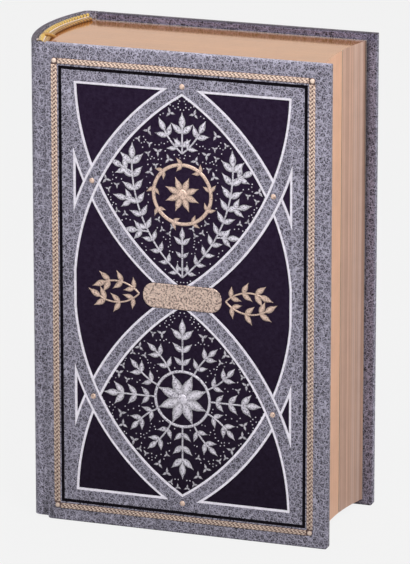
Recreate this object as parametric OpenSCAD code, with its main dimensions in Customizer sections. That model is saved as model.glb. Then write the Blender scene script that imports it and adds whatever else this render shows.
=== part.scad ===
// Hardback book bound in tooled leather over boards.
// The book stands on the tails of its boards at Z = 0. Its front cover faces -Y,
// its fore-edge faces +X and its rounded spine faces -X.
// Depths on the front cover are measured inwards from the leather's outer face.

/* [Covers] */
// Height of the boards from tail to head
cover_h = 207; // [190:1:230]
// Width of a cover from the joint to the fore-edge
cover_w = 125; // [121:1:150]
// Thickness of the closed book over both covers
book_t = 65; // [50:1:80]
// Thickness of a greyboard
board_t = 2.1; // [1.6:0.1:3]
// Thickness of the leather on the covers and spine
leather_t = 0.9; // [0.7:0.05:1.2]
// Thickness of the leather where it wraps a board's edges
edge_t = 0.6; // [0.4:0.05:1]
// Thickness of the leather where it is pared and turned in
turn_in_t = 0.3; // [0.2:0.05:0.5]
// Width of the turned-in leather inside a board
turn_in_w = 14; // [10:1:20]
// Radius of a cover's corners at the tail, seen from the front
tail_corner_r = 1.8; // [0.8:0.1:3]
// Radius of a cover's corners at the head, seen from the front
head_corner_r = 0.6; // [0.3:0.1:2]
// Rounding of a cover's edges
edge_r = 0.8; // [0.3:0.1:1.2]

/* [Spine] */
// How far the rounded spine stands out behind the joints
spine_bulge = 12.2; // [11:0.2:15]
// Radius of the spine's curve
spine_r = 80; // [60:1:120]
// Rounding of the spine's shoulders
shoulder_r = 3.2; // [2:0.1:5]
// Depth of the groove at each joint
joint_drop = 0.65; // [0.5:0.05:1.2]
// How far the spine's leather stops below the boards' head
spine_head_drop = 0; // [0:0.1:2]
// How far the spine's leather stops above the boards' tail
spine_tail_rise = 1.2; // [0.4:0.1:3]
// Thickness of the card that stiffens the spine's leather
inlay_t = 0.7; // [0.3:0.1:1]
// Paper thickness of the hollow tube
tube_t = 0.2; // [0.15:0.05:0.4]
// Air space inside the hollow tube
tube_space = 0.2; // [0.15:0.05:0.6]
// Thickness of the cloth lining on the pages' back
lining_t = 0.3; // [0.2:0.05:0.5]

/* [Pages] */
// Margin by which the boards overhang the pages at head and tail
square_h = 3; // [3:0.5:5]
// Margin by which the boards overhang the pages' corners at the fore-edge
square_w = 4.4; // [3:0.2:7]
// Depth of the fore-edge's hollow curve
fore_hollow = 4; // [2:0.2:7]
// Thickness of an endpaper leaf
paper_t = 0.2; // [0.15:0.05:0.3]
// How far in from the front face the opening between two sections shows
split_y = 36; // [5:0.5:50]
// Width of that opening
split_b = 0.7; // [0.3:0.1:1.5]
// Margin between a pastedown and the cover's edges
paste_margin = 5; // [3.5:0.5:8]

/* [Bands] */
// Diameter of the sewn bead on the head and tail bands
bead_d = 2; // [1.2:0.1:2.2]
// How far the bead stands above the pages' ends
bead_rise = 0.6; // [0:0.1:0.7]
// Diameter of the lower row of stitches in front of the bead
row_d = 1.6; // [1:0.1:2]
// Width of the band's tape on the pages' back
tape_w = 12; // [8:1:16]
// Spacing of the thread wraps on the bead
wrap_pitch = 1.9; // [1.4:0.1:3]

/* [Front cover frame] */
// Distance from the cover's fore-edge to the braid's middle line
braid_fore = 7.9; // [5:0.1:12]
// Distance from the joint to the braid's middle line
braid_joint = 4.5; // [3:0.1:12]
// Distance from the cover's tail to the braid's middle line
braid_tail = 6.5; // [4:0.1:12]
// Distance from the cover's head to the braid's middle line
braid_head = 7.3; // [4:0.1:12]
// Breadth of the braid
braid_b = 2.6; // [2:0.1:3]
// Spacing of the strands that pass over in the braid
braid_pitch = 2.8; // [2:0.1:3.4]
// Breadth of a strand, measured along the braid
strand_b = 1.6; // [0.8:0.1:1.8]
// Diameter of the round stops at the braid's corners
stop_d = 2.8; // [2:0.1:3]
// Gap between the braid and the black fillet
fillet_gap = 0.6; // [0.3:0.1:1.5]
// Breadth of the black fillet
fillet_b = 1.4; // [1:0.1:2]
// Distance from the braid's middle line to the silver lines at the sides of the panel
panel_side = 8.8; // [7.6:0.1:12]
// Distance from the braid's middle line to the silver lines at the ends of the panel
panel_end = 8.4; // [7.6:0.1:12]
// Breadth of a silver line
line_b = 1; // [0.6:0.1:1.4]
// Breadth of a strap between the middles of its silver lines
strap_b = 5.8; // [4:0.1:7]
// How far beyond the panel's ends the long straps cross
cross_rise = 1.6; // [0:0.1:2.5]
// How far beyond the panel's sides the long straps bow
long_bow = 3.2; // [2:0.1:5]
// How far the four short straps bow
short_bow = 12.5; // [8:0.1:16]
// Diameter of the gold dots where the straps cross
dot_d = 2.5; // [1.8:0.1:3.2]
// Depth of the silver lines and of the braid
relief = 0.3; // [0.2:0.05:0.35]
// Thickness of the coloured foil in the panels
foil_t = 0.15; // [0.1:0.05:0.2]

/* [Front cover ornament] */
// Length of the blank cartouche in the middle
label_w = 35; // [24:1:44]
// Breadth of the blank cartouche
label_b = 11; // [8:0.5:14]
// Length of a large leaf
leaf_l = 8; // [4:0.2:9]
// Breadth of a large leaf
leaf_b = 3.2; // [1.2:0.1:3.6]
// Angle between a leaf and its stem
leaf_lean = 48; // [35:1:60]
// Spacing of the leaves along a stem
leaf_gap = 5.6; // [3:0.1:7]
// Breadth of a stem
stem_b = 0.8; // [0.4:0.1:1.2]
// Radius of the gold flower
flower_r = 8; // [5:0.2:10]
// Radius of the button in the middle of a flower
bud_r = 2.4; // [1.5:0.1:3]
// Radius of the wreath around the gold flower
wreath_r = 12.6; // [11:0.2:15]
// Radius of the ring in the lower panel
star_r = 12; // [9:0.2:15]
// Radius of the curve of the two tall sprays in the upper panel
laurel_r = 62; // [55:1:70]
// Radius of the curve of the small sprays
spray_r = 28; // [20:1:40]
// Radius of the curve of the gold sprays beside the cartouche
scroll_r = 14; // [11:0.5:18]

/* [Hidden] */
$fn = 64;

leather_colour = [0.50, 0.50, 0.55];
panel_colour = [0.17, 0.14, 0.20];
silver_colour = [0.86, 0.85, 0.89];
gold_colour = [0.87, 0.71, 0.58];
thread_colour = [0.80, 0.66, 0.34];
edge_colour = [0.84, 0.68, 0.56];
black_colour = [0.06, 0.04, 0.07];
board_colour = [0.55, 0.52, 0.48];
paper_colour = [0.93, 0.90, 0.84];
cloth_colour = [0.90, 0.88, 0.80];

// Clearances
joint_gap = 0.3;
cover_gap = 0.3;
glue = 0.05;
foil_gap = 0.3;

// Places along X, with the whole width centred on X = 0
fore_x = (cover_w + spine_bulge) / 2;
joint_x = fore_x - cover_w;
spine_c = spine_r - fore_x;

// Places along Y, as half thicknesses
half_t = book_t / 2;
cover_t = leather_t + board_t + turn_in_t;
page_half = half_t - cover_t - paper_t - cover_gap - paper_t;
back_half = half_t - joint_drop;

// Radii of the layers behind the pages
inlay_r = spine_r - leather_t;
cap_r = inlay_r - inlay_t;
tube_r = cap_r - turn_in_t - 2 * glue;
lining_r = tube_r - 2 * tube_t - tube_space - glue;
page_r = lining_r - lining_t - glue;

// Where the shoulders' rounding starts, on each layer
shoulder_x = spine_c - sqrt(pow(spine_r - shoulder_r, 2) - pow(back_half - shoulder_r, 2));
layer_half = (back_half - shoulder_r) * inlay_r / (spine_r - shoulder_r);

// Heights
page_z = square_h;
page_h = cover_h - 2 * square_h;
spine_z = spine_tail_rise;
spine_h = cover_h - spine_tail_rise - spine_head_drop;
page_fore_x = fore_x - square_w;
fore_r = (pow(page_half, 2) + pow(fore_hollow, 2)) / (2 * fore_hollow);
shoulder_half = back_half - leather_t - lining_t - 2 * glue;

// The front design
braid_w = cover_w - braid_fore - braid_joint;
braid_h = cover_h - braid_tail - braid_head;
design_x = fore_x - braid_fore - braid_w / 2;
design_z = braid_tail + braid_h / 2;
fillet_w = braid_w - braid_b - 2 * fillet_gap;
fillet_h = braid_h - braid_b - 2 * fillet_gap;
wide = 2 * cover_h;
panel_w = braid_w - 2 * panel_side;
panel_h = braid_h - 2 * panel_end;
flower_y = panel_h / 4;

// Centre of the circle of radius r through p and q, on the right of the way from p to q
function arc_centre(p, q, r) =
    let (d = q - p, l = norm(d), h = sqrt(r * r - l * l / 4))
    (p + q) / 2 + [d[1], -d[0]] / l * h;
// The point where two circles cross, on the left of the way from a to b
function crossing(a, ra, b, rb) =
    let (d = b - a, l = norm(d), t = (l * l + ra * ra - rb * rb) / (2 * l))
    a + d / l * t + [-d[1], d[0]] / l * sqrt(ra * ra - t * t);

// Radius of an arc over a chord of length l that bows out by b
function bow_radius(l, b) = (l * l / 4 + b * b) / (2 * b);

long_top = panel_h / 2 + cross_rise;
long_r = bow_radius(2 * long_top, panel_w / 2 + long_bow);
long_c = arc_centre([0, -long_top], [0, long_top], long_r);
short_end = [-(panel_w + strap_b - line_b) / 2, panel_h / 2];
short_r = bow_radius(norm(short_end), short_bow);
short_c = arc_centre([0, 0], short_end, short_r);
side_dot = crossing(long_c, long_r, short_c, short_r);

// Flat shapes
module rect(w, h) {
    square([w, h], center = true);
}

module frame(w, h, b) {
    difference() {
        rect(w + b, h + b);
        rect(w - b, h - b);
    }
}

module round_rect(x0, x1, y0, y1, r) {
    translate([x0 + r, y0]) square([x1 - x0 - 2 * r, y1 - y0]);
    translate([x0, y0 + r]) square([x1 - x0, y1 - y0 - 2 * r]);
    for (x = [x0 + r, x1 - r], y = [y0 + r, y1 - r]) translate([x, y]) circle(r);
}

module ring(r, b) {
    difference() {
        circle(r + b / 2);
        circle(r - b / 2);
    }
}

// A piece of a ring between two angles less than 180 degrees apart
module arc(r, b, a0, a1) {
    far = 2 * r;
    intersection() {
        ring(r, b);
        polygon([[0, 0], far * [cos(a0), sin(a0)], far * [cos((a0 + a1) / 2), sin((a0 + a1) / 2)],
            far * [cos(a1), sin(a1)]]);
    }
}

// A cover's body, from depth d0 to depth d1 on the side that faces the given way
module slab(side, x0, x1, z0, z1, d0, d1) {
    y = side * (half_t - d0);
    translate([x0, min(y, side * (half_t - d1)), z0]) cube([x1 - x0, d1 - d0, z1 - z0]);
}

module on_front(d0, d1) {
    translate([design_x, d1 - half_t, design_z]) rotate([90, 0, 0]) linear_extrude(d1 - d0) children();
}

// Pages and endpapers
// The region inside a rounded back of radius r, with its sides at y = +-half
module back_outline(r, half, corner) {
    x = spine_c - sqrt(pow(r - corner, 2) - pow(half - corner, 2));
    tangent = (half - corner) * r / (r - corner);
    intersection() {
        translate([spine_c, 0]) circle(r);
        translate([-wide, -tangent]) square([wide, 2 * tangent]);
    }
    for (y = [corner - half, half - corner]) translate([x, y]) circle(corner);
    translate([x, -half]) square([-x, 2 * half]);
}

module page_outline() {
    difference() {
        intersection() {
            union() {
                translate([-wide, -page_half]) square([wide + page_fore_x, 2 * page_half]);
                translate([-wide, -wide]) square([wide + joint_x - 2 * joint_gap, 2 * wide]);
            }
            union() {
                back_outline(page_r, shoulder_half, shoulder_r - leather_t - lining_t);
                translate([joint_x, -page_half]) square([page_fore_x - joint_x, 2 * page_half]);
            }
        }
        translate([page_fore_x - fore_hollow + fore_r, 0]) circle(fore_r);
        translate([page_fore_x - fore_hollow, split_y - page_half]) circle(d = split_b, $fn = 16);
    }
}

module page_block() {
    color(edge_colour) translate([0, 0, page_z]) linear_extrude(page_h) page_outline();
}

module flyleaf(side) {
    depth = half_t - page_half;
    color(paper_colour) slab(side, joint_x, page_fore_x, page_z, page_z + page_h, depth - paper_t, depth);
}

module pastedown(side) {
    inner = turn_in_w + edge_t;
    bed = leather_t + board_t;
    color(paper_colour) difference() {
        slab(side, joint_x + edge_t, fore_x - paste_margin, paste_margin, cover_h - paste_margin, bed,
            cover_t + paper_t);
        difference() {
            slab(side, joint_x, fore_x, 0, cover_h, bed, cover_t);
            slab(side, joint_x, fore_x - inner, inner, cover_h - inner, bed, cover_t);
        }
        slab(side, joint_x + edge_t + paper_t, fore_x - inner - paper_t, inner + paper_t,
            cover_h - inner - paper_t, bed + paper_t, cover_t + paper_t);
    }
}

// Layers behind the pages
module back_layer(r, t, half) {
    intersection() {
        translate([spine_c, 0]) ring(r - t / 2, t);
        translate([-wide, -half]) square([wide, 2 * half]);
    }
}

module spine_lining() {
    tape = tape_w + glue;
    color(cloth_colour) translate([0, 0, page_z + tape]) linear_extrude(page_h - 2 * tape)
        back_layer(lining_r, lining_t, layer_half);
}

module hollow_tube() {
    color(board_colour) translate([0, 0, page_z]) linear_extrude(page_h) difference() {
        back_layer(tube_r, 2 * tube_t + tube_space, layer_half - 1);
        back_layer(tube_r - tube_t, tube_space, layer_half - 1 - tube_t);
    }
}

module spine_inlay() {
    color(board_colour) translate([0, 0, spine_z + leather_t]) linear_extrude(spine_h - 2 * leather_t)
        back_layer(inlay_r, inlay_t, layer_half);
}

module spine_leather() {
    to_joint = [joint_x - joint_gap + wide, 2 * wide];
    color(leather_colour) {
        translate([0, 0, spine_z]) linear_extrude(spine_h) intersection() {
            difference() {
                back_outline(spine_r, back_half, shoulder_r);
                back_outline(inlay_r, back_half - leather_t, shoulder_r - leather_t);
            }
            translate([-wide, -wide]) square(to_joint);
        }
        for (z = [spine_z, spine_z + spine_h - leather_t]) translate([0, 0, z])
            linear_extrude(leather_t) back_layer(inlay_r + leather_t / 2, inlay_t + turn_in_t + leather_t / 2,
                layer_half);
        for (z = [spine_z, spine_z + spine_h - turn_in_w]) translate([0, 0, z])
            linear_extrude(turn_in_w) back_layer(cap_r, turn_in_t, layer_half);
    }
}

// A sewn band: a bead of thread wraps over the pages' end with a row of stitches in front, on a tape
module sewn_band(end_z, out) {
    bead_r = bead_d / 2;
    path_r = page_r - bead_r / 2;
    reach = asin((page_half - bead_r) / path_r);
    wraps = floor(2 * reach * PI / 180 * path_r / wrap_pitch);
    bead_z = end_z + out * (bead_rise + bead_r + glue);
    tape_h = tape_w + bead_rise + bead_r;
    row_r = row_d / 2;
    color(thread_colour) {
        translate([0, 0, out > 0 ? end_z - tape_w : end_z + tape_w - tape_h]) linear_extrude(tape_h)
            back_layer(lining_r, lining_t, page_half - bead_r);
        translate([spine_c, 0, end_z + out * (row_r + glue)]) rotate([0, 0, 180 - reach])
            rotate_extrude(angle = 2 * reach) translate([path_r - bead_r - row_r / 3, 0]) circle(row_r);
        translate([spine_c, 0, bead_z]) rotate([0, 0, 180 - reach])
            rotate_extrude(angle = 2 * reach) translate([path_r, 0]) circle(bead_r * 0.85);
        for (i = [0:wraps]) translate([spine_c, 0, bead_z])
            rotate([0, 0, 180 - reach + (i + 0.5) * 2 * reach / (wraps + 1)]) translate([path_r, 0, 0])
                rotate([90, 0, 0]) cylinder(r = bead_r, h = wrap_pitch * 0.6, center = true, $fn = 8);
    }
}

// Boards and their leather
module board(side) {
    color(board_colour) slab(side, joint_x + edge_t, fore_x - edge_t, edge_t, cover_h - edge_t,
        leather_t, leather_t + board_t);
}

// A cover's face, with its own corners at the tail and at the head
module cover_face() {
    round_rect(joint_x, fore_x, 0, cover_h - turn_in_w, tail_corner_r);
    round_rect(joint_x, fore_x, turn_in_w, cover_h, head_corner_r);
}

module cover_blank(side) {
    y0 = min(side * half_t, side * (half_t - cover_t));
    intersection() {
        translate([0, y0 + cover_t, 0]) rotate([90, 0, 0]) linear_extrude(cover_t) cover_face();
        linear_extrude(cover_h) round_rect(joint_x, fore_x, y0, y0 + cover_t, edge_r);
        translate([joint_x, 0, 0]) rotate([90, 0, 90]) linear_extrude(cover_w)
            round_rect(y0, y0 + cover_t, 0, cover_h, edge_r);
    }
}

module cover_leather(side) {
    inner = turn_in_w + edge_t;
    difference() {
        cover_blank(side);
        slab(side, joint_x + edge_t, fore_x - edge_t, edge_t, cover_h - edge_t, leather_t,
            leather_t + board_t);
        slab(side, joint_x + edge_t, fore_x - inner, inner, cover_h - inner, leather_t, cover_t + edge_t);
    }
}

// The strapwork of the front cover, as flat regions b wide along each strap
module long_strap(x, b) {
    translate([x * long_c[0], 0]) ring(long_r, b);
}

module short_strap(x, y, b) {
    intersection() {
        translate([x * short_c[0], y * short_c[1]]) ring(short_r, b);
        translate([0, y * wide / 2]) rect(wide, wide);
    }
}

module straps(b) {
    for (x = [-1, 1]) {
        long_strap(x, b);
        for (y = [-1, 1]) short_strap(x, y, b);
    }
}

module panels(grow) {
    difference() {
        rect(panel_w + grow, panel_h + grow);
        straps(strap_b - grow);
    }
}

// Silver lines of the strap that passes over another, where they cross
module over_lines() {
    outer = strap_b + line_b;
    inner = strap_b - line_b;
    intersection() {
        rect(panel_w, panel_h);
        for (y = [-1, 1]) {
            intersection() {
                difference() {
                    long_strap(1, outer);
                    long_strap(1, inner);
                }
                short_strap(1, y, inner);
            }
            intersection() {
                difference() {
                    short_strap(-1, y, outer);
                    short_strap(-1, y, inner);
                }
                long_strap(-1, inner);
            }
        }
    }
}

module label_outline(grow) {
    half_w = (label_w + grow) / 2;
    half_b = (label_b + grow) / 2;
    round_rect(-half_w, half_w, -half_b, half_b, half_b * 0.9);
}

module front_cover_leather() {
    color(leather_colour) difference() {
        cover_leather(-1);
        on_front(-1, relief + foil_t) panels(line_b);
        on_front(-1, relief) over_lines();
        on_front(-1, relief) label_outline(0);
        on_front(-1, relief) frame(braid_w, braid_h, braid_b);
        on_front(-1, relief) frame(fillet_w - fillet_b, fillet_h - fillet_b, fillet_b);
        on_front(-1, relief) stops();
        on_front(-1, relief) dots();
    }
}

module stops() {
    for (x = [-1, 1], y = [-1, 1]) translate([x * braid_w, y * braid_h] / 2) circle(d = stop_d, $fn = 12);
}

module dots() {
    for (y = [-1, 1]) {
        translate([0, y * long_top]) circle(d = dot_d, $fn = 12);
        for (x = [-1, 1]) translate([x * side_dot[0], y * side_dot[1]]) circle(d = dot_d, $fn = 12);
    }
}

module front_panel_foil() {
    color(panel_colour) on_front(relief, relief + foil_t) panels(line_b);
}

module front_silver_lines() {
    color(silver_colour) on_front(0, relief) difference() {
        union() {
            difference() {
                panels(line_b);
                panels(-line_b);
            }
            over_lines();
        }
        label_outline(0);
    }
}

module front_gold_dots() {
    color(gold_colour) on_front(0, relief) dots();
}

// One strand where it passes over the other, slanting across the braid
module strand(l) {
    half = braid_b / 2;
    foot = strand_b / 2;
    polygon([[-l / 2 - foot, half], [foot - l / 2, half], [l / 2 + foot, -half], [l / 2 - foot, -half]]);
}

module braid_run(length) {
    count = round(length / braid_pitch);
    step = length / count;
    for (i = [1:count - 1]) translate([i * step - length / 2, 0]) strand(step);
}

module front_braid() {
    color(gold_colour) on_front(0, relief) {
        stops();
        for (y = [-1, 1]) translate([0, y * braid_h / 2]) braid_run(braid_w - stop_d);
        for (x = [-1, 1]) translate([x * braid_w / 2, 0]) rotate(90) braid_run(braid_h - stop_d);
    }
}

module front_black_fillet() {
    color(black_colour) on_front(relief - foil_t, relief) frame(fillet_w - fillet_b, fillet_h - fillet_b,
        fillet_b);
}

// Ornament
module leaf(s) {
    l = s * leaf_l;
    b = s * leaf_b / 2;
    polygon([[0, 0], [0.45 * l, -b], [l, 0], [0.45 * l, b]]);
}

// Place of the leaves' pair i along a stem, from 0 to 1
function pair_t(i, pairs) = (i - 0.5) / pairs;

// A place on a stem that starts along +X and turns to the left on radius r
module on_spray(r, turn) {
    translate([r * sin(turn), r - r * cos(turn)]) rotate(turn) children();
}

// Such a stem, with leaves of size s0 to s1
module spray(r, sweep, s0, s1) {
    pairs = round(r * sweep * PI / 180 / leaf_gap);
    translate([0, r]) arc(r, stem_b, -90, sweep - 90);
    for (i = [1:pairs], lean = [-leaf_lean, leaf_lean]) on_spray(r, sweep * pair_t(i, pairs))
        rotate(lean) leaf(s0 + (s1 - s0) * pair_t(i, pairs));
    on_spray(r, sweep) translate([-stem_b, 0]) leaf(s1);
}

// The same on a straight stem
module sprig(pairs, s0, s1) {
    l = pairs * leaf_gap;
    translate([0, -stem_b / 2]) square([l, stem_b]);
    for (i = [1:pairs], lean = [-leaf_lean, leaf_lean]) translate([l * pair_t(i, pairs), 0])
        rotate(lean) leaf(s0 + (s1 - s0) * pair_t(i, pairs));
    translate([l - stem_b, 0]) leaf(s1);
}

module both_sides() {
    children();
    mirror([1, 0]) children();
}

module flipped() {
    mirror([0, 1]) children();
}

// A flower of eight leaves around a button
module flower(r) {
    for (turn = [22.5:45:337.5]) rotate(turn) translate([bud_r / 2, 0]) leaf((r - bud_r / 2) / leaf_l);
    circle(bud_r);
}

// Sprays that rise from the foot of the upper panel around the wreath
module laurel() {
    translate([0, label_b / 2 + leaf_b]) {
        rotate(90) sprig(3, 0.3, 0.7);
        both_sides() rotate(40) {
            spray(laurel_r, 52, 0.5, 0.9);
            for (turn = [22, 34, 46]) on_spray(laurel_r, turn) rotate(-60) sprig(1, 0.6, 0.8);
        }
    }
    translate([0, flower_y + wreath_r + leaf_b * 1.5]) {
        rotate(90) sprig(2, 0.6, 0.9);
        both_sides() rotate(38) spray(spray_r, 26, 0.5, 0.8);
    }
}

// Sprays that spread from a ring around a flower
module star() {
    ring(star_r, stem_b * 1.6);
    flower(star_r);
    for (turn = [90, 270]) rotate(turn) translate([star_r, 0]) sprig(3, 0.6, 0.9);
    both_sides() {
        translate([star_r, 0]) sprig(3, 0.6, 0.9);
        for (y = [0, 1]) mirror([0, y]) {
            rotate(25) translate([star_r, 0]) spray(spray_r, 24, 0.6, 0.7);
            rotate(65) translate([star_r, 0]) flipped() spray(spray_r, 24, 0.6, 0.7);
        }
    }
}

module wreath() {
    ring(wreath_r, stem_b * 2);
    for (turn = [90:40:410]) rotate(turn) translate([wreath_r, 0]) for (lean = [-leaf_lean, leaf_lean])
        rotate(90 - lean) leaf(0.5);
    flower(flower_r);
}

module front_silver_ornament() {
    color(silver_colour) on_front(foil_t, relief) intersection() {
        panels(-line_b - 2 * foil_gap);
        union() {
            laurel();
            translate([0, -flower_y]) star();
        }
    }
}

module front_gold_ornament() {
    color(gold_colour) {
        on_front(0, relief) label_outline(-foil_gap);
        on_front(foil_t, relief) intersection() {
            panels(-line_b - 2 * foil_gap);
            union() {
                both_sides() translate([label_w / 2 + leaf_b / 2, 0]) {
                    rotate(-leaf_lean) spray(scroll_r, 80, 0.6, 0.8);
                    rotate(leaf_lean) flipped() spray(scroll_r, 70, 0.6, 0.8);
                }
                translate([0, flower_y]) wreath();
            }
        }
    }
}

page_block();
flyleaf(-1);  // front_flyleaf
flyleaf(1);  // back_flyleaf
spine_lining();
hollow_tube();
spine_inlay();
spine_leather();
sewn_band(page_z + page_h, 1);  // head_band
sewn_band(page_z, -1);  // tail_band
board(-1);  // front_board
front_cover_leather();
pastedown(-1);  // front_pastedown
front_panel_foil();
front_silver_lines();
front_silver_ornament();
front_gold_ornament();
front_gold_dots();
front_braid();
front_black_fillet();
board(1);  // back_board
color(leather_colour) cover_leather(1);  // back_cover_leather
pastedown(1);  // back_pastedown
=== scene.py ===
import math
import random

import bmesh
import bpy
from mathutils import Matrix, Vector
from mathutils.bvhtree import BVHTree

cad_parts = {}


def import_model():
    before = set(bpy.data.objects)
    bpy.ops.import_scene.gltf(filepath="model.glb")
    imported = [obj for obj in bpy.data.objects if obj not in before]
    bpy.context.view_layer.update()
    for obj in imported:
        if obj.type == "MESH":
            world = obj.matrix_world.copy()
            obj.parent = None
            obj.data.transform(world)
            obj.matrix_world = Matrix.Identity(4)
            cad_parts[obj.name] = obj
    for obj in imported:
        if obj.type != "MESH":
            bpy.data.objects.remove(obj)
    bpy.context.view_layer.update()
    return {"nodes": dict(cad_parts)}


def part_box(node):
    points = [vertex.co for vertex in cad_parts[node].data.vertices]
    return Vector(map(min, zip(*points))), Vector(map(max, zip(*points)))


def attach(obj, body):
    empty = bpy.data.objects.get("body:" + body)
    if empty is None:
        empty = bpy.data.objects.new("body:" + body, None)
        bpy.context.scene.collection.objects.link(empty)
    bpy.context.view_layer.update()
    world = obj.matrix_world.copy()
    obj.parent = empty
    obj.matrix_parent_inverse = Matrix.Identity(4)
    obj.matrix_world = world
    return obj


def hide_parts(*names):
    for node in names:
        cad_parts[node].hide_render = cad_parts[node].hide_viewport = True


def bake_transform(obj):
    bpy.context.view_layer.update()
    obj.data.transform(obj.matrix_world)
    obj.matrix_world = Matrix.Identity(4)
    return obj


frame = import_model()
nodes = frame["nodes"]

# X runs from the spine to the fore-edge, Y from the front cover to the back cover, and Z up.
# Lengths are in metres, apart from the front design, the braid and the joints' profiles, which are in millimetres.
MM = 0.001
X, Y, Z = 0, 1, 2
rng = random.Random(7)


# Camera, fitted to the straight edges of the photograph
CAMERA_TARGET = Vector((0.0029, 0.0, 0.10124))
CAMERA_AZIMUTH, CAMERA_ELEVATION = math.radians(19.632), math.radians(15.594)
CAMERA_DISTANCE = 1.9492
FOCAL_PIXELS, PHOTO_PIXELS = 4625.6, 564
SENSOR = 36


def camera():
    level = math.cos(CAMERA_ELEVATION)
    back = Vector((math.sin(CAMERA_AZIMUTH) * level, -math.cos(CAMERA_AZIMUTH) * level, math.sin(CAMERA_ELEVATION)))
    data = bpy.data.cameras.new("camera")
    data.sensor_width = SENSOR
    data.lens = FOCAL_PIXELS / PHOTO_PIXELS * SENSOR
    data.clip_end = 60
    obj = bpy.data.objects.new("camera", data)
    bpy.context.scene.collection.objects.link(obj)
    obj.location = CAMERA_TARGET + back * CAMERA_DISTANCE
    obj.rotation_euler = (-back).to_track_quat("-Z", "Y").to_euler()
    bpy.context.scene.camera = obj


camera()
bpy.context.scene.view_settings.view_transform = "Standard"


# Materials
class Mat:
    """A material under construction, with short names for its nodes."""

    def __init__(self, name):
        self.mat = bpy.data.materials.new(name)
        self.mat.use_nodes = True
        self.tree = self.mat.node_tree
        self.bsdf = self.tree.nodes["Principled BSDF"]
        self.coord = self.new("TexCoord").outputs["Object"]

    def put(self, value, socket):
        """Link a socket's output, or set a value. A colour may leave out its alpha."""
        if isinstance(value, bpy.types.NodeSocket):
            self.tree.links.new(value, socket)
        elif isinstance(value, tuple) and len(value) < len(socket.default_value):
            socket.default_value = value + (1,)
        else:
            socket.default_value = value

    def new(self, kind, **inputs):
        node = self.tree.nodes.new("ShaderNode" + kind)
        for key, value in inputs.items():
            self.put(value, node.inputs[key])
        return node

    def stretched(self, *xyz):
        return self.new("Mapping", Vector=self.coord, Scale=xyz).outputs[0]

    def warped(self, scale, share):
        """The coordinates, pulled aside by a share of a noise."""
        shift = self.new("TexNoise", Vector=self.coord, Scale=scale)
        node = self.new("Mix")
        node.data_type = "VECTOR"
        for value, socket in ((share, 0), (self.coord, 4), (shift.outputs["Color"], 5)):
            self.put(value, node.inputs[socket])
        return node.outputs[1]

    def noise(self, scale, detail=3, rough=0.5, distortion=0, at=None):
        return self.new(
            "TexNoise", Vector=at or self.coord, Scale=scale, Detail=detail, Roughness=rough, Distortion=distortion
        ).outputs[0]

    def borders(self, scale, at):
        """The distance to the nearest border between random cells."""
        node = self.new("TexVoronoi")
        node.feature = "DISTANCE_TO_EDGE"
        self.put(at, node.inputs["Vector"])
        self.put(scale, node.inputs["Scale"])
        return node.outputs["Distance"]

    def calc(self, operation, a, b=0.0):
        node = self.new("Math")
        node.operation = operation
        self.put(a, node.inputs[0])
        self.put(b, node.inputs[1])
        return node.outputs[0]

    def times(self, a, b):
        return self.calc("MULTIPLY", a, b)

    def ramp(self, value, *stops):
        """A ramp through stops of (position, grey or colour)."""
        node = self.new("ValToRGB")
        elements = node.color_ramp.elements
        for i, (position, colour) in enumerate(stops):
            element = elements[i] if i < len(elements) else elements.new(position)
            element.position = position
            element.color = (colour if isinstance(colour, tuple) else (colour,) * 3) + (1,)
        self.put(value, node.inputs[0])
        return node.outputs[0]

    def along(self, axis, start, length, *stops):
        """A ramp along one axis of the book, with its stops in shares of a length from a start."""
        return self.ramp(self.calc("DIVIDE", self.calc("SUBTRACT", self.place()[axis], start), length), *stops)

    def mix(self, share, a, b, blend="MIX"):
        node = self.new("Mix")
        node.data_type = "RGBA"
        node.blend_type = blend
        for value, socket in ((share, 0), (a, 6), (b, 7)):
            self.put(value, node.inputs[socket])
        return node.outputs[2]

    def tint(self, colour, by, share=1.0):
        return self.mix(share, colour, by, "MULTIPLY")

    def place(self):
        return self.new("SeparateXYZ", Vector=self.coord).outputs

    def normal(self):
        return self.new("SeparateXYZ", Vector=self.new("NewGeometry").outputs["True Normal"]).outputs

    def bump(self, *layers):
        """Each layer is (height, distance)."""
        last = None
        for height, distance in layers:
            node = self.new("Bump", Height=height, Distance=distance)
            if last:
                self.put(last, node.inputs["Normal"])
            last = node.outputs[0]
        self.put(last, self.bsdf.inputs["Normal"])

    def finish(self, **inputs):
        for key, value in inputs.items():
            self.put(value, self.bsdf.inputs[key.replace("_", " ")])
        return self.mat


def srgb(*rgb):
    return tuple(c / 255 / 12.92 if c <= 10 else ((c / 255 + 0.055) / 1.055) ** 2.4 for c in rgb)


# The height over which most colours are darkened a little toward the tail, as painted shade
TAIL_SHADE_H = 0.2
# The middle and the half size of a pale worn oval near the head of the front cover
SCUFF_X, SCUFF_Z = -0.0273, 0.1942
SCUFF_W, SCUFF_H = 0.0013, 0.0022


def shaded_and_scuffed(m, colour):
    """Painted shade toward the tail, and a slanting oval where the leather is worn pale."""
    colour = m.tint(colour, m.along(Z, 0, TAIL_SHADE_H, (0.0, 0.8), (0.5, 0.94), (1.0, 1.02)))
    dx = m.calc("DIVIDE", m.calc("SUBTRACT", m.place()[X], SCUFF_X), SCUFF_W)
    dz = m.calc("DIVIDE", m.calc("SUBTRACT", m.place()[Z], SCUFF_Z), SCUFF_H)
    slant = m.calc("ADD", dx, m.times(dz, 0.5))
    away = m.calc("ADD", m.times(slant, slant), m.times(dz, dz))
    return m.mix(m.ramp(away, (0.0, 0.75), (0.7, 0.6), (1.0, 0.0)), colour, srgb(164, 160, 178))


# The painted shadow on the strip behind the pages' fore-edge: where it starts, its width, and a length up it
BEHIND_X, BEHIND_W, BEHIND_H = 0.0634, 0.01 / 3, 0.25
# The part above the pages' head: a height below it, and a length up from there that crosses its edge
ABOVE_Z, ABOVE_H = 0.2, 0.01


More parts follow.
